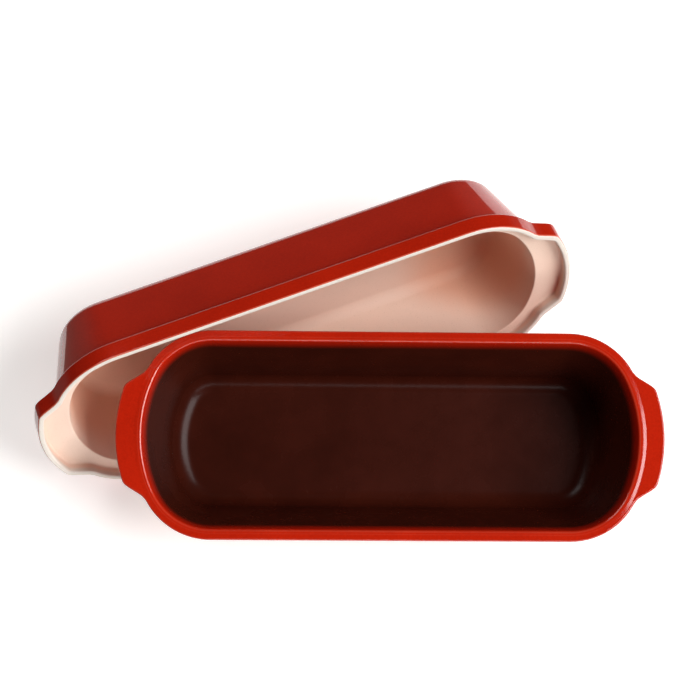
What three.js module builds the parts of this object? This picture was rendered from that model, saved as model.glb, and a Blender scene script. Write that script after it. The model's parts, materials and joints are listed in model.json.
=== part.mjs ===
import * as THREE from 'three';

// A long glazed loaf baker in two fired pieces: an open base and a deep lid.
// The lid lies on its long side behind the base, its mouth tipped up,
// and one side of the base is perched on the edge of the lid's mouth.
// Millimetres, +Z up, angles in degrees.

// Mouth of the base from above: straight sides, round corners, bowed ends
const mouthLength = 350;
const mouthWidth = 132.4;
const cornerRadius = 44;
const endRadius = 97;

// Handles drawn out of the rim at both ends
const handleReach = 11.1;
const handleWidth = 80;
const handleBlend = 13;

// Base
const baseHeight = 79;
const baseWall = 6.3;
const baseFloor = 8;
const baseDraft = 16.2;
const footRadius = 6;
const floorRadius = 14;
const rimWidth = 7.8;
const rimThickness = 7.5;
const rimUnderRadius = 2.5;
const rimTopRadius = 1.2;
const throatRadius = 2;
const ridgeHeight = 3.5;
const ridgeFoot = 5.2;
const ridgeTop = 2.2;
const ridgeFootRadius = 3;
const ridgeTopRadius = 2.2;
const mouthEdgeRadius = 1.3;

// Lid
const lidHeight = 71.5;
const lidCrown = 7;
const lidDraft = 19;
const hollowDraft = 15.2;
const endStand = 3;
const crownRadius = 14;
const hollowRadius = 10;
const lipWidth = 4.2;
const lipRadius = 1.4;
const flangeHeight = 13.5;
const flangeStep = 3.8;
const flangeRadius = 2;
const flangeFootRadius = 2;
const rebateDepth = 8;
const rebateRadius = 1.5;
const ledgeRadius = 1;
const seatClearance = 1.4;

// How the two pieces lie together
const lidYaw = 20;
const lidShift = -34.8;
const perchReach = 48.7;
const restGap = 0.3;

// Fineness of the curves
const endSteps = 10;
const cornerSteps = 8;
const sideSteps = 2;
const arcStep = 30;

const rad = THREE.MathUtils.degToRad;

// The mouth outline moved outward by offset, counter-clockwise from +X.
// With handles, the ends are drawn out by the handle's reach inside its width,
// and an S-curve on each flank leads back to the plain rim. With stand, both
// ends lie that much further out, for ends that lean less than the sides.
function outline(offset, handles, stand = 0) {
  const halfLength = mouthLength / 2 + offset + stand;
  const halfWidth = mouthWidth / 2 + offset;
  const corner = cornerRadius + offset;
  const end = endRadius + offset;
  const bowX = halfLength - end;
  const cornerY = halfWidth - corner;
  const cornerX = bowX + Math.sqrt((end - corner) ** 2 - cornerY ** 2);
  const turn = Math.asin(cornerY / (end - corner));
  const quarter = [];
  for (let i = 0; i < endSteps; i += 1) {
    const angle = turn * (1 - (1 - i / endSteps) ** 1.4);
    quarter.push(new THREE.Vector2(bowX + end * Math.cos(angle), end * Math.sin(angle)));
  }
  for (let i = 0; i <= cornerSteps; i += 1) {
    const angle = THREE.MathUtils.lerp(turn, Math.PI / 2, i / cornerSteps);
    quarter.push(new THREE.Vector2(cornerX + corner * Math.cos(angle), cornerY + corner * Math.sin(angle)));
  }
  for (let i = 1; i <= sideSteps; i += 1) {
    quarter.push(new THREE.Vector2(cornerX * (1 - i / sideSteps), halfWidth));
  }
  if (handles) {
    // the flanks move out by the whole offset, so the lip is fuller there
    const halfHandle = handleWidth / 2 + (offset - rimWidth);
    for (const point of quarter) {
      const near = halfHandle - handleBlend / 2;
      const far = halfHandle + handleBlend / 2;
      point.x += handleReach * (1 - THREE.MathUtils.smoothstep(point.y, near, far));
    }
  }
  const last = quarter.length - 1;
  const right = quarter.slice(0, last);
  const left = quarter.slice(1).reverse().map((p) => new THREE.Vector2(-p.x, p.y));
  const upper = [...right, ...left];
  return [...upper, ...upper.map((p) => new THREE.Vector2(-p.x, -p.y))];
}

// A wall section is a chain of corners: offset from the mouth, height, radius,
// whether the outline there carries the handles, and any stand of its ends. Each
// corner between the first and the last becomes an arc, limited by its neighbours.
function roundedSection(corners) {
  const rings = [];
  for (let i = 1; i < corners.length - 1; i += 1) {
    const here = new THREE.Vector2(corners[i].offset, corners[i].z);
    const before = new THREE.Vector2(corners[i - 1].offset, corners[i - 1].z).sub(here);
    const after = new THREE.Vector2(corners[i + 1].offset, corners[i + 1].z).sub(here);
    const room = 0.49 * Math.min(before.length(), after.length());
    before.normalize();
    after.normalize();
    const bend = Math.PI - Math.acos(THREE.MathUtils.clamp(before.dot(after), -1, 1));
    const setback = Math.min(corners[i].radius * Math.tan(bend / 2), room);
    const radius = setback / Math.tan(bend / 2);
    const inward = before.clone().add(after).normalize();
    const centre = here.clone().addScaledVector(inward, radius / Math.cos(bend / 2));
    const from = here.clone().addScaledVector(before, setback).sub(centre);
    const side = Math.sign(before.clone().negate().cross(after));
    const steps = Math.max(2, Math.round(bend / rad(arcStep)));
    for (let k = 0; k <= steps; k += 1) {
      const spoke = from.clone().rotateAround(new THREE.Vector2(), (side * bend * k) / steps);
      const point = centre.clone().add(spoke);
      rings.push({ ...corners[i], offset: point.x, z: point.y });
    }
  }
  return rings;
}

// Skins a chain of rings and closes it with a flat face at each end.
function skin(rings) {
  const loops = rings.map((ring) => outline(ring.offset, ring.handles, ring.stand));
  const count = loops[0].length;
  const positions = [];
  loops.forEach((loop, r) => loop.forEach((p) => positions.push(p.x, p.y, rings[r].z)));
  const index = [];
  for (let r = 0; r < loops.length - 1; r += 1) {
    for (let k = 0; k < count; k += 1) {
      const a = r * count + k;
      const b = r * count + ((k + 1) % count);
      index.push(a, b, b + count, a, b + count, a + count);
    }
  }
  const top = (loops.length - 1) * count;
  for (const [a, b, c] of THREE.ShapeUtils.triangulateShape(loops[0], [])) {
    index.push(a, c, b);
  }
  for (const [a, b, c] of THREE.ShapeUtils.triangulateShape(loops[loops.length - 1], [])) {
    index.push(top + a, top + b, top + c);
  }
  const geometry = new THREE.BufferGeometry();
  geometry.setAttribute('position', new THREE.Float32BufferAttribute(positions, 3));
  geometry.setIndex(index);
  geometry.computeVertexNormals();
  return geometry;
}

// Base: the wall leans out from the foot, turns into a flat rim with handles,
// and a low ridge with a sloping outer side runs round the mouth on the rim.
const baseSlope = Math.tan(rad(baseDraft));
const insideBase = (z) => -(baseHeight - z) * baseSlope;
const outsideBase = (z) => insideBase(z) + baseWall / Math.cos(rad(baseDraft));
const rimTop = baseHeight - ridgeHeight;
const rimUnder = rimTop - rimThickness;
const baseSection = roundedSection([
  { offset: outsideBase(0) - 4 * footRadius, z: 0 },
  { offset: outsideBase(0), z: 0, radius: footRadius, handles: false },
  { offset: outsideBase(rimUnder), z: rimUnder, radius: throatRadius, handles: false },
  { offset: rimWidth, z: rimUnder, radius: rimUnderRadius, handles: true },
  { offset: rimWidth, z: rimTop, radius: rimTopRadius, handles: true },
  { offset: ridgeFoot, z: rimTop, radius: ridgeFootRadius, handles: false },
  { offset: ridgeTop, z: baseHeight, radius: ridgeTopRadius, handles: false },
  { offset: 0, z: baseHeight, radius: mouthEdgeRadius, handles: false },
  { offset: insideBase(baseFloor), z: baseFloor, radius: floorRadius, handles: false },
  { offset: insideBase(baseFloor) - 4 * floorRadius, z: baseFloor },
]);

// Lid, lip down: the lip hangs outside the rim of the base, and a ledge inside
// it lands on the ridge, with the hollow of the lid level with the mouth.
const lipInside = rimWidth + seatClearance;
const lipOutside = lipInside + lipWidth;
const hollowTop = lidHeight - lidCrown;
const insideLid = (z) => -(z - rebateDepth) * Math.tan(rad(hollowDraft));
const outsideLid = (z) => lipOutside - flangeStep - (z - flangeHeight) * Math.tan(rad(lidDraft));
const lidSection = roundedSection([
  { offset: insideLid(hollowTop) - 4 * hollowRadius, z: hollowTop },
  { offset: insideLid(hollowTop), z: hollowTop, radius: hollowRadius, handles: false, stand: endStand },
  { offset: 0, z: rebateDepth, radius: ledgeRadius, handles: false },
  { offset: lipInside, z: rebateDepth, radius: rebateRadius, handles: true },
  { offset: lipInside, z: 0, radius: lipRadius, handles: true },
  { offset: lipOutside, z: 0, radius: lipRadius, handles: true },
  { offset: lipOutside, z: flangeHeight, radius: flangeRadius, handles: true },
  { offset: outsideLid(flangeHeight), z: flangeHeight, radius: flangeFootRadius, handles: false },
  { offset: outsideLid(lidHeight), z: lidHeight, radius: crownRadius, handles: false, stand: endStand },
  { offset: outsideLid(lidHeight) - 4 * crownRadius, z: lidHeight },
]);

const baseGlaze = new THREE.MeshStandardMaterial({ color: '#b71f07', roughness: 0.25, metalness: 0 });
const lidGlaze = new THREE.MeshStandardMaterial({ color: '#a81d08', roughness: 0.25, metalness: 0 });

const base = new THREE.Mesh(skin(baseSection), baseGlaze);
base.name = 'base';
const lid = new THREE.Mesh(skin(lidSection), lidGlaze);
lid.name = 'lid';

// The lid lies on the round edges of its flange and crown. The angle comes
// from the line that touches both of those circles.
const flangeEdge = { offset: lipOutside - flangeRadius, z: flangeHeight - flangeRadius };
const crownLean = rad(lidDraft);
const crownEdge = {
  offset: outsideLid(lidHeight - crownRadius) - crownRadius / Math.cos(crownLean),
  z: lidHeight - crownRadius,
};
const spanOut = flangeEdge.offset - crownEdge.offset;
const spanUp = crownEdge.z - flangeEdge.z;
const recline = Math.atan2(spanOut, spanUp)
  - Math.asin((crownRadius - flangeRadius) / Math.hypot(spanOut, spanUp));

// A point of the lid's lower wall, seen along the lid: x runs back, y runs up.
function lowerWall(offset, z) {
  const drop = -(mouthWidth / 2 + offset);
  return new THREE.Vector2(
    z * Math.cos(recline) + drop * Math.sin(recline),
    drop * Math.cos(recline) - z * Math.sin(recline),
  );
}
const lidRise = flangeRadius - lowerWall(flangeEdge.offset, flangeEdge.z).y;
const perch = lowerWall(ledgeRadius, rebateDepth + ledgeRadius);

// The base stands on the foot edge of its front corner and leans back on the
// round edge of the ledge. The foot circle lies this far in front of its middle.
const yaw = rad(lidYaw);
const footInset = outsideBase(footRadius) - footRadius / Math.cos(rad(baseDraft));
const toe = Math.max(...outline(footInset, false).map((p) => p.x * Math.sin(yaw) + p.y * Math.cos(yaw)));
const rise = new THREE.Vector2(perchReach + toe, perch.y + lidRise - footRadius);
const tilt = Math.atan2(rise.y, rise.x) + Math.asin((footRadius + restGap + ledgeRadius) / rise.length());

lid.rotation.x = -(Math.PI / 2 + recline);
lid.position.set(lidShift, perchReach - perch.x, lidRise);
base.rotation.z = -yaw;
base.position.set(0, toe, -footRadius);
const leaning = new THREE.Group();
leaning.position.set(0, -toe, footRadius);
leaning.rotation.x = tilt;
leaning.add(base);

const setting = new THREE.Group();
setting.rotation.z = yaw;
setting.add(lid, leaning);

// The origin is the middle of the floor under the pair.
const loafBaker = new THREE.Group();
loafBaker.name = 'loafBaker';
loafBaker.add(setting);
loafBaker.updateMatrixWorld(true);
const bounds = new THREE.Box3().setFromObject(loafBaker, true);
const middle = bounds.getCenter(new THREE.Vector3());
setting.position.set(-middle.x, -middle.y, -bounds.min.z);

export default loafBaker;
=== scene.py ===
import json
import math

import bmesh
import bpy
from mathutils import Matrix, Vector


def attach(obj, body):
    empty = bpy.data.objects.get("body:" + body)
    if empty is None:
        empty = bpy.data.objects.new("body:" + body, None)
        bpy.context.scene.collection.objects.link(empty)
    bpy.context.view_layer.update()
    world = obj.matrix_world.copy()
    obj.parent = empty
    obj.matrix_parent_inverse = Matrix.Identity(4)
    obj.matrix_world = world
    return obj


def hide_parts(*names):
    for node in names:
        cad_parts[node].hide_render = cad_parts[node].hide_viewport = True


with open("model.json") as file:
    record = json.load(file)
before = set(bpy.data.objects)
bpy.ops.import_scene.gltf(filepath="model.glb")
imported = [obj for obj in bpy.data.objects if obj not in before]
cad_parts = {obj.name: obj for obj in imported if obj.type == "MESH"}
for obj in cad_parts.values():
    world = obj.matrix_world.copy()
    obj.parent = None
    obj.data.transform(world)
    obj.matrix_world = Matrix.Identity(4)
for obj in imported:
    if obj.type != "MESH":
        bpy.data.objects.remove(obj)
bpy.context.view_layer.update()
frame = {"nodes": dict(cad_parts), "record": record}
scene = bpy.context.scene
print("frame loaded:", ", ".join(sorted(frame["nodes"])))

# the two flat faces in the record say where each half lies
faces = {m["name"]: (Vector(m["pos_m"]), Vector(m["axis"])) for m in frame["record"]["mounts"]}
footPoint, footAxis = faces["base_foot"]
crownPoint, crownAxis = faces["lid_crown"]
yaw = math.atan2(-crownAxis.x, crownAxis.y)  # how far the lid is turned behind the base
recline = math.asin(-crownAxis.z)  # how far its mouth is tipped up
tilt = math.acos(-footAxis.z)  # how far the base leans off the lid's edge
mm = 0.001
same = 0.001  # points closer than this, in millimetres, count as one


def clamp(value, low=0, high=1):
    return min(max(value, low), high)


def linear(code):
    channels = [int(code[i:i + 2], 16) / 255 for i in (1, 3, 5)]
    return *(c / 12.92 if c <= 0.04045 else ((c + 0.055) / 1.055) ** 2.4 for c in channels), 1.0


def addNode(tree, kind, sockets=(), **settings):
    # a socket takes another node's output, a number or a hex colour; a colour Mix has
    # its share at 0, its two colours at 6 and 7, and the blend at output 2
    node = tree.nodes.new(kind)
    for key, value in settings.items():
        setattr(node, key, value)
    for socket, value in dict(sockets).items():
        if isinstance(value, bpy.types.NodeSocket):
            tree.links.new(value, node.inputs[socket])
        else:
            node.inputs[socket].default_value = linear(value) if isinstance(value, str) else value
    return node


def newFinish(name):
    finish = bpy.data.materials.new(name)
    finish.use_nodes = True
    return finish, finish.node_tree, finish.node_tree.nodes["Principled BSDF"]


# mouth outline that both halves share, millimetres
mouth = {
    "length": 350, "width": 132.38, "cornerRadius": 44, "endRadius": 97,
    "handleReach": 11.05, "handleWidth": 80, "handleBlend": 13, "rimWidth": 7.8,
    "endSteps": 30, "cornerSteps": 18, "sideSteps": 12,
}


def drawMouth(bm, plain, outward):
    # a quarter from two turned arcs and a straight side, then mirrored twice
    bowX = mouth["length"] / 2 - mouth["endRadius"]
    cornerY = mouth["width"] / 2 - mouth["cornerRadius"]
    apart = mouth["endRadius"] - mouth["cornerRadius"]  # from the end arc's middle to the corner's
    turn = math.asin(cornerY / apart)
    cornerX = bowX + apart * math.cos(turn)
    tip = bmesh.ops.create_vert(bm, co=(mouth["length"] / 2, 0, 0))["vert"]
    for middle, angle, steps in (
        ((bowX, 0, 0), turn, mouth["endSteps"]),
        ((cornerX, cornerY, 0), math.pi / 2 - turn, mouth["cornerSteps"]),
    ):
        arc = bmesh.ops.spin(bm, geom=tip, cent=middle, axis=(0, 0, 1), angle=angle, steps=steps)
        tip = [g for g in arc["geom_last"] if isinstance(g, bmesh.types.BMVert)]
    for _ in range(mouth["sideSteps"]):
        tip = bmesh.ops.extrude_vert_indiv(bm, verts=tip)["verts"]
        bmesh.ops.translate(bm, verts=tip, vec=(-cornerX / mouth["sideSteps"], 0, 0))
    for side in ("Y", "X"):
        bmesh.ops.mirror(bm, geom=bm.verts[:] + bm.edges[:], axis=side, merge_dist=same)
    # every point keeps its place on the mouth and the way it moves as the wall gets wider
    for v in bm.verts:
        away = Vector((abs(v.co.x) - bowX, abs(v.co.y), 0))
        if abs(v.co.x) < cornerX + same:
            away = Vector((0, 1, 0))
        elif away.y > away.x * math.tan(turn):
            away -= Vector((cornerX - bowX, cornerY, 0))
        away.normalize()
        v[plain] = v.co
        v[outward] = (math.copysign(away.x, v.co.x), math.copysign(away.y, v.co.y), 0)
    return cornerX


def buildWall(corners, flatFinishes):
    # each corner of the wall section has offset, height, radius, segments, handles,
    # how far its ends stand out, how thin the glaze runs over it, and the finish
    # of the strip that follows it
    bm = bmesh.new()
    thin = bm.verts.layers.float.new("thin")
    plain = bm.verts.layers.float_vector.new("plain")
    outward = bm.verts.layers.float_vector.new("outward")
    straight = drawMouth(bm, plain, outward)
    loops = []
    ring, edges = bm.verts[:], bm.edges[:]
    for i, corner in enumerate(corners):
        if loops:
            drawn = bmesh.ops.extrude_edge_only(bm, edges=loops[-1])["geom"]
            ring = [g for g in drawn if isinstance(g, bmesh.types.BMVert)]
            edges = [g for g in drawn if isinstance(g, bmesh.types.BMEdge)]
            edges = [e for e in edges if all(v in ring for v in e.verts)]
            for face in (g for g in drawn if isinstance(g, bmesh.types.BMFace)):
                face.material_index = corners[i - 1]["finish"]
        loops.append(edges)
        half = mouth["handleWidth"] / 2 + corner["offset"] - mouth["rimWidth"]
        for v in ring:
            v.co = v[plain] + v[outward] * corner["offset"]
            v.co.z = corner["height"]
            v.co.x += corner.get("stand", 0) * clamp(v[plain].x / straight, -1)
            if corner.get("handles"):
                # the ends are drawn out to a handle, with an S-curve on each flank
                share = clamp((half - abs(v.co.y)) / mouth["handleBlend"] + 0.5)
                v.co.x += math.copysign(mouth["handleReach"] * share * share * (3 - 2 * share), v.co.x)
    for loop, finish in zip((loops[0], loops[-1]), flatFinishes):
        for face in bmesh.ops.edgeloop_fill(bm, edges=loop)["faces"]:
            face.material_index = finish
    bmesh.ops.recalc_face_normals(bm, faces=bm.faces)

    # round every corner by the angle that the section turns there, flats included
    path = [Vector((c["offset"], c["height"])) for c in corners]
    across = Vector((1, 0))
    path = [path[0] - across] + path + [path[-1] - across]
    for i, loop in enumerate(loops):
        bend = (path[i + 1] - path[i]).angle(path[i + 2] - path[i + 1])
        arc = bmesh.ops.bevel(
            bm, geom=loop, offset=corners[i]["radius"] * math.tan(bend / 2), offset_type="OFFSET",
            segments=corners[i]["segments"], profile=0.5, affect="EDGES", material=-1, clamp_overlap=False,
        )
        rounded = set(arc["faces"])
        for v in arc["verts"]:
            if all(f in rounded for f in v.link_faces):
                v[thin] = corners[i].get("thin", 0)

    # each flat gets a border and strips across it, so what its points carry blends evenly
    border = 3
    for flat in [f for f in bm.faces if len(f.verts) > 4]:
        bmesh.ops.inset_region(bm, faces=[flat], thickness=border)
        back = sorted((v for v in flat.verts if v.co.y > same), key=lambda v: v.co.x)
        front = sorted((v for v in flat.verts if v.co.y < -same), key=lambda v: v.co.x)
        for pair in zip(back, front):
            bmesh.ops.connect_verts(bm, verts=pair)
    for face in bm.faces:
        face.smooth = True
    for name in ("plain", "outward"):
        bm.verts.layers.float_vector.remove(bm.verts.layers.float_vector[name])
    return bm


def markDepth(bm, finish, depthOf):
    # how far in from the mouth, millimetres, kept on the inner walls for the finish there
    depth = bm.verts.layers.float.new("depth")
    for face in bm.faces:
        if face.material_index == finish:
            for v in face.verts:
                v[depth] = depthOf(v.co)


def finishPiece(bm, name, place, body, node, materials):
    bmesh.ops.scale(bm, verts=bm.verts, vec=(mm, mm, mm))
    bmesh.ops.transform(bm, matrix=place, verts=bm.verts)
    mesh = bpy.data.meshes.new(name)
    bm.to_mesh(mesh)
    bm.free()
    piece = bpy.data.objects.new(name, mesh)
    scene.collection.objects.link(piece)
    for material in materials:
        mesh.materials.append(material)
    steady = piece.modifiers.new("flat faces stay flat", "WEIGHTED_NORMAL")
    steady.weight = 100
    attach(piece, body)
    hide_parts(node)
    print(name, "made with", len(mesh.polygons), "faces")


# red glazed stoneware, sprayed and fired glossy: deep tomato red that drifts a little
# over the wall, faintly mottled, and paler where it runs thin over an edge
redFinish = {
    "deep": "#A91B06", "full": "#B92008", "thin": "#E0785C", "driftMm": 45, "mottleMm": 1.6,
    "deepBelow": 0.7, "fullAbove": 1.3, "smoothest": 0.05, "roughest": 0.1,
    "rippleMm": 8, "rippleDepthMm": 0.08, "rippleShare": 0.2, "ior": 1.52,
}
redGlaze, tree, shader = newFinish("red glazed stoneware")
where = addNode(tree, "ShaderNodeTexCoord").outputs["Object"]
drift = addNode(tree, "ShaderNodeTexNoise", {
    "Vector": where, "Scale": 1 / (redFinish["driftMm"] * mm), "Detail": 3,
}).outputs["Fac"]
mottle = addNode(tree, "ShaderNodeTexNoise", {
    "Vector": where, "Scale": 1 / (redFinish["mottleMm"] * mm), "Detail": 2,
}).outputs["Fac"]
cloud = addNode(tree, "ShaderNodeMath", {0: drift, 1: mottle}, operation="ADD")
share = addNode(tree, "ShaderNodeMapRange", {
    "Value": cloud.outputs[0], "From Min": redFinish["deepBelow"], "From Max": redFinish["fullAbove"],
})
red = addNode(tree, "ShaderNodeMix", {
    0: share.outputs[0], 6: redFinish["deep"], 7: redFinish["full"],
}, data_type="RGBA")
edge = addNode(tree, "ShaderNodeAttribute", attribute_name="thin")
worn = addNode(tree, "ShaderNodeMath", {0: edge.outputs["Fac"], 1: drift}, operation="MULTIPLY")
color = addNode(tree, "ShaderNodeMix", {
    0: worn.outputs[0], 6: red.outputs[2], 7: redFinish["thin"],
}, data_type="RGBA")
tree.links.new(color.outputs[2], shader.inputs["Base Color"])
gloss = addNode(tree, "ShaderNodeMapRange", {
    "Value": drift, "To Min": redFinish["smoothest"], "To Max": redFinish["roughest"],
})
tree.links.new(gloss.outputs[0], shader.inputs["Roughness"])
ripple = addNode(tree, "ShaderNodeTexNoise", {
    "Vector": where, "Scale": 1 / (redFinish["rippleMm"] * mm), "Detail": 1,
})
bump = addNode(tree, "ShaderNodeBump", {
    "Height": ripple.outputs["Fac"], "Strength": redFinish["rippleShare"],
    "Distance": redFinish["rippleDepthMm"] * mm,
})
tree.links.new(bump.outputs[0], shader.inputs["Normal"])
shader.inputs["IOR"].default_value = redFinish["ior"]

# dark glazed stoneware inside the base: red just under the rim, turning brown-black deeper inside
darkFinish = {
    "red": "#A91B06", "brown": "#42160C", "black": "#2B0D07", "driftMm": 30,
    "darkensFromMm": 3, "darkensToMm": 15, "darkensSwayMm": 3, "smoothest": 0.22, "roughest": 0.32,
    "rippleMm": 6, "rippleDepthMm": 0.2, "rippleShare": 0.2, "ior": 1.35, "specular": 0.2,
}
darkGlaze, tree, shader = newFinish("dark glazed stoneware")
where = addNode(tree, "ShaderNodeTexCoord").outputs["Object"]
drift = addNode(tree, "ShaderNodeTexNoise", {
    "Vector": where, "Scale": 1 / (darkFinish["driftMm"] * mm), "Detail": 4,
}).outputs["Fac"]
brown = addNode(tree, "ShaderNodeMix", {
    0: drift, 6: darkFinish["black"], 7: darkFinish["brown"],
}, data_type="RGBA")
below = addNode(tree, "ShaderNodeAttribute", attribute_name="depth")
# the colour goes from red near the mouth to brown-black further down, along a wavering line
uneven = addNode(tree, "ShaderNodeMath", {
    0: drift, 1: darkFinish["darkensSwayMm"], 2: below.outputs["Fac"],
}, operation="MULTIPLY_ADD")
darkens = addNode(tree, "ShaderNodeMapRange", {
    "Value": uneven.outputs[0], "From Min": darkFinish["darkensFromMm"], "From Max": darkFinish["darkensToMm"],
}, interpolation_type="SMOOTHSTEP")
color = addNode(tree, "ShaderNodeMix", {
    0: darkens.outputs[0], 6: darkFinish["red"], 7: brown.outputs[2],
}, data_type="RGBA")
tree.links.new(color.outputs[2], shader.inputs["Base Color"])
gloss = addNode(tree, "ShaderNodeMapRange", {
    "Value": drift, "To Min": darkFinish["smoothest"], "To Max": darkFinish["roughest"],
})
tree.links.new(gloss.outputs[0], shader.inputs["Roughness"])
ripple = addNode(tree, "ShaderNodeTexNoise", {
    "Vector": where, "Scale": 1 / (darkFinish["rippleMm"] * mm), "Detail": 1,
})
bump = addNode(tree, "ShaderNodeBump", {
    "Height": ripple.outputs["Fac"], "Strength": darkFinish["rippleShare"],
    "Distance": darkFinish["rippleDepthMm"] * mm,
})
tree.links.new(bump.outputs[0], shader.inputs["Normal"])
shader.inputs["IOR"].default_value = darkFinish["ior"]
shader.inputs["Specular IOR Level"].default_value = darkFinish["specular"]

# bare stoneware clay, wiped clean before firing: matt cream with fine grit, and painted shade that turns
# it warmer and darker deeper inside the hollow
clayFinish = {
    "cream": "#D8D0C6", "warmShade": "#E3C7B5", "deep": "#E3B095", "grit": "#B79A82", "driftMm": 28,
    "warmShadeFromMm": 8, "warmShadeToMm": 30, "deepFromMm": 60, "deepToMm": 130, "depthSwayMm": 6,
    "gritMm": 0.9, "gritFrom": 0.62, "gritTo": 0.72, "gritMost": 0.3, "gritDepthMm": 0.2, "gritShare": 0.3,
    "smoothest": 0.5, "roughest": 0.75, "ior": 1.45,
}
bareClay, tree, shader = newFinish("bare stoneware clay")
where = addNode(tree, "ShaderNodeTexCoord").outputs["Object"]
drift = addNode(tree, "ShaderNodeTexNoise", {
    "Vector": where, "Scale": 1 / (clayFinish["driftMm"] * mm), "Detail": 3,
}).outputs["Fac"]
below = addNode(tree, "ShaderNodeAttribute", attribute_name="depth")
uneven = addNode(tree, "ShaderNodeMath", {
    0: drift, 1: clayFinish["depthSwayMm"], 2: below.outputs["Fac"],
}, operation="MULTIPLY_ADD")
clay = clayFinish["cream"]
# painted shade: the deeper a point lies in the hollow, the warmer and then the darker its clay colour
for paintedShade in ("warmShade", "deep"):
    shadeShare = addNode(tree, "ShaderNodeMapRange", {
        "Value": uneven.outputs[0],
        "From Min": clayFinish[paintedShade + "FromMm"], "From Max": clayFinish[paintedShade + "ToMm"],
    }, interpolation_type="SMOOTHSTEP")
    clay = addNode(tree, "ShaderNodeMix", {
        0: shadeShare.outputs[0], 6: clay, 7: clayFinish[paintedShade],
    }, data_type="RGBA").outputs[2]
grit = addNode(tree, "ShaderNodeTexNoise", {
    "Vector": where, "Scale": 1 / (clayFinish["gritMm"] * mm), "Detail": 2,
}).outputs["Fac"]
speck = addNode(tree, "ShaderNodeMapRange", {
    "Value": grit, "From Min": clayFinish["gritFrom"], "From Max": clayFinish["gritTo"],
    "To Max": clayFinish["gritMost"],
})
color = addNode(tree, "ShaderNodeMix", {
    0: speck.outputs[0], 6: clay, 7: clayFinish["grit"],
}, data_type="RGBA")
tree.links.new(color.outputs[2], shader.inputs["Base Color"])
rough = addNode(tree, "ShaderNodeMapRange", {
    "Value": grit, "To Min": clayFinish["smoothest"], "To Max": clayFinish["roughest"],
})
tree.links.new(rough.outputs[0], shader.inputs["Roughness"])
bump = addNode(tree, "ShaderNodeBump", {
    "Height": grit, "Strength": clayFinish["gritShare"], "Distance": clayFinish["gritDepthMm"] * mm,
})
tree.links.new(bump.outputs[0], shader.inputs["Normal"])
shader.inputs["IOR"].default_value = clayFinish["ior"]
print("finishes mixed")

# base: sloping trough, flat rim with handles that swells a little towards the mouth
baseShape = {
    "height": 79, "wall": 6.3, "floor": 8, "draft": 16.2, "footRadius": 6, "floorRadius": 14,
    "rimThickness": 10.7, "rimDraft": 0.4, "rimUnderRadius": 2.5, "rimTopRadius": 1.2, "throatRadius": 2,
    "swellHeight": 0.3, "swellFoot": 5.8, "swellTop": 2.9, "swellRadius": 8, "edgeRadius": 2.4,
}
slope = math.tan(math.radians(baseShape["draft"]))
thick = baseShape["wall"] / math.cos(math.radians(baseShape["draft"]))
high = baseShape["height"]
rimTop = high - baseShape["swellHeight"]
rimUnder = rimTop - baseShape["rimThickness"]
outside, inside, bare = 0, 1, 2
baseCorners = [
    {"offset": thick - high * slope, "height": 0,
     "radius": baseShape["footRadius"], "segments": 8, "finish": outside},
    {"offset": thick - (high - rimUnder) * slope, "height": rimUnder,
     "radius": baseShape["throatRadius"], "segments": 4, "finish": outside},
    {"offset": mouth["rimWidth"], "height": rimUnder, "handles": True,
     "radius": baseShape["rimUnderRadius"], "segments": 6, "finish": outside},
    {"offset": mouth["rimWidth"] - baseShape["rimDraft"], "height": rimTop, "handles": True,
     "radius": baseShape["rimTopRadius"], "segments": 6, "thin": 0.15, "finish": outside},
    {"offset": baseShape["swellFoot"], "height": rimTop,
     "radius": baseShape["swellRadius"], "segments": 6, "finish": outside},
    {"offset": baseShape["swellTop"], "height": high,
     "radius": baseShape["swellRadius"], "segments": 5, "thin": 0.1, "finish": outside},
    {"offset": 0, "height": high,
     "radius": baseShape["edgeRadius"], "segments": 6, "thin": 0.2, "finish": inside},
    {"offset": -(high - baseShape["floor"]) * slope, "height": baseShape["floor"],
     "radius": baseShape["floorRadius"], "segments": 12, "finish": inside},
]
bm = buildWall(baseCorners, (bare, inside))
markDepth(bm, inside, lambda co: max(high - co.z, 0))
# it leans about the lid's long edge, which crosses under it at an angle
turned = Matrix.Rotation(yaw, 4, "Z") @ Matrix.Rotation(tilt, 4, "X") @ Matrix.Rotation(-yaw, 4, "Z")
finishPiece(
    bm, "base_glazed", Matrix.Translation(footPoint) @ turned,
    "base", "base", (redGlaze, darkGlaze, bareClay),
)

# lid: lip that wraps the base's rim, ledge that lands on its mouth, deep hollow, flat crown
lidShape = {
    "height": 71.5, "crown": 7, "draft": 19, "hollowDraft": 15.2, "endStand": 3,
    "crownRadius": 14, "hollowRadius": 10, "clearance": 1.4, "lipWidth": 4.2, "lipRadius": 1.4,
    "flangeHeight": 13.5, "flangeStep": 3.8, "flangeRadius": 2, "flangeFootRadius": 2,
    # the last three numbers set how the painted shade darkens towards the hollow's ends
    "rebate": 8, "rebateRadius": 1.5, "ledgeRadius": 1, "shadeEndFrom": 80, "shadeEndShare": 1.6, "shadeEndRun": 12,
}
lipInside = mouth["rimWidth"] + lidShape["clearance"]
lipOutside = lipInside + lidShape["lipWidth"]
wallFoot = lipOutside - lidShape["flangeStep"]
hollowTop = lidShape["height"] - lidShape["crown"]
hollowIn = (hollowTop - lidShape["rebate"]) * math.tan(math.radians(lidShape["hollowDraft"]))
crownIn = (lidShape["height"] - lidShape["flangeHeight"]) * math.tan(math.radians(lidShape["draft"]))
outside, inside = 0, 1
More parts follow.
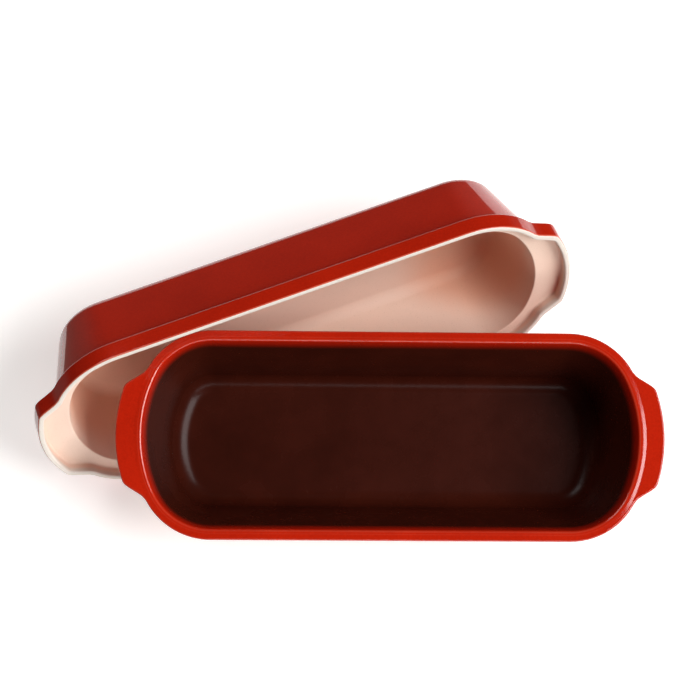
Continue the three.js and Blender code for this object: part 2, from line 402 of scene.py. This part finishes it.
lidCorners = [
    {"offset": -hollowIn, "height": hollowTop, "stand": lidShape["endStand"],
     "radius": lidShape["hollowRadius"], "segments": 12, "finish": inside},
    {"offset": 0, "height": lidShape["rebate"],
     "radius": lidShape["ledgeRadius"], "segments": 5, "finish": inside},
    {"offset": lipInside, "height": lidShape["rebate"], "handles": True,
     "radius": lidShape["rebateRadius"], "segments": 5, "finish": inside},
    {"offset": lipInside, "height": 0, "handles": True,
     "radius": lidShape["lipRadius"], "segments": 6, "finish": inside},
    {"offset": lipOutside, "height": 0, "handles": True,
     "radius": lidShape["lipRadius"], "segments": 6, "thin": 0.9, "finish": outside},
    {"offset": lipOutside, "height": lidShape["flangeHeight"], "handles": True,
     "radius": lidShape["flangeRadius"], "segments": 6, "thin": 0.15, "finish": outside},
    {"offset": wallFoot, "height": lidShape["flangeHeight"],
     "radius": lidShape["flangeFootRadius"], "segments": 5, "finish": outside},
    {"offset": wallFoot - crownIn, "height": lidShape["height"], "stand": lidShape["endStand"],
     "radius": lidShape["crownRadius"], "segments": 12, "finish": outside},
]


def depthWithShadedEnds(co):
    # the ends of the hollow, past the ledge, count as deeper than its middle, so the painted shade is
    # darker there
    pastLedge = clamp((co.z - lidShape["rebate"] / 2) / lidShape["shadeEndRun"])
    return co.z + max(abs(co.x) - lidShape["shadeEndFrom"], 0) * lidShape["shadeEndShare"] * pastLedge


bm = buildWall(lidCorners, (inside, outside))
# the depth kept here drives the painted shade in the hollow
markDepth(bm, inside, depthWithShadedEnds)
turned = Matrix.Rotation(yaw, 4, "Z") @ Matrix.Rotation(-(math.pi / 2 + recline), 4, "X")
lipPoint = crownPoint - crownAxis * lidShape["height"] * mm
finishPiece(
    bm, "lid_glazed", Matrix.Translation(lipPoint) @ turned,
    "lid", "lid", (redGlaze, bareClay),
)

# pale light table, with its back and left edges just out of the picture, so that
# the lid's walls mirror the dim room past them
tableLook = {
    "size": 3.0, "right": 1.19, "back": -1.155, "drop": 0.0003,
    "color": "#F4F3F1", "glow": 0.5, "roughness": 0.9,
}
bm = bmesh.new()
bmesh.ops.create_grid(bm, x_segments=1, y_segments=1, size=tableLook["size"] / 2)
bmesh.ops.translate(bm, verts=bm.verts, vec=(tableLook["right"], tableLook["back"], -tableLook["drop"]))
mesh = bpy.data.meshes.new("table")
bm.to_mesh(mesh)
bm.free()
table = bpy.data.objects.new("table", mesh)
scene.collection.objects.link(table)
acrylic, _, shader = newFinish("white frosted acrylic")
shader.inputs["Base Color"].default_value = linear(tableLook["color"])
shader.inputs["Roughness"].default_value = tableLook["roughness"]
shader.inputs["Emission Color"].default_value = linear(tableLook["color"])
shader.inputs["Emission Strength"].default_value = tableLook["glow"]
mesh.materials.append(acrylic)

# past the table a grey sweep fades into a dim room just under the horizon
roomLook = {"sweep": "#80766F", "room": "#3F3630", "sweepBelow": -0.25, "roomAbove": -0.03}
world = bpy.data.worlds.new("dim room")
scene.world = world
world.use_nodes = True
tree = world.node_tree
toward = addNode(tree, "ShaderNodeTexCoord").outputs["Generated"]
level = addNode(tree, "ShaderNodeSeparateXYZ", {0: toward}).outputs["Z"]
rise = addNode(tree, "ShaderNodeMapRange", {
    "Value": level, "From Min": roomLook["sweepBelow"], "From Max": roomLook["roomAbove"],
}, interpolation_type="SMOOTHSTEP")
fade = addNode(tree, "ShaderNodeMix", {
    0: rise.outputs[0], 6: roomLook["sweep"], 7: roomLook["room"],
}, data_type="RGBA")
tree.links.new(fade.outputs[2], tree.nodes["Background"].inputs["Color"])

# soft boxes round the sides, none overhead, so the level rims mirror nothing bright
softBoxes = {
    "right box": {"watts": 268, "width": 2.9, "height": 2.9, "at": (3.2, -0.5, 3.6)},
    "back fill": {"watts": 42, "width": 2.0, "height": 1.4, "at": (-2.0, 2.2, 3.0)},
    "front fill": {"watts": 48, "width": 2.8, "height": 1.4, "at": (1.1, -3.0, 1.4)},
}
for name, look in softBoxes.items():
    box = bpy.data.lights.new(name, "AREA")
    box.shape = "RECTANGLE"
    box.size = look["width"]
    box.size_y = look["height"]
    box.energy = look["watts"]
    lamp = bpy.data.objects.new(name, box)
    lamp.location = look["at"]
    lamp.rotation_euler = (-lamp.location).to_track_quat("-Z", "Y").to_euler()
    scene.collection.objects.link(lamp)

# camera looks steeply down over the base, as in the 700 by 700 photograph
view = {
    "aim": (-0.00107, 0.01144, 0.06003), "distance": 1.4, "elevation": 78.02, "roll": 0.2,
    "focalPixels": 1934.4, "imagePixels": 700, "sensorMm": 36,
}
camera = bpy.data.cameras.new("camera")
camera.sensor_width = view["sensorMm"]
camera.lens = view["focalPixels"] / view["imagePixels"] * view["sensorMm"]
eye = bpy.data.objects.new("camera", camera)
lean = math.radians(90 - view["elevation"])
turned = Matrix.Rotation(lean, 4, "X") @ Matrix.Rotation(math.radians(view["roll"]), 4, "Z")
eye.matrix_world = Matrix.Translation(view["aim"]) @ turned @ Matrix.Translation((0, 0, view["distance"]))
scene.collection.objects.link(eye)
scene.camera = eye
scene.view_settings.view_transform = "Standard"
print("stage, light and camera set")
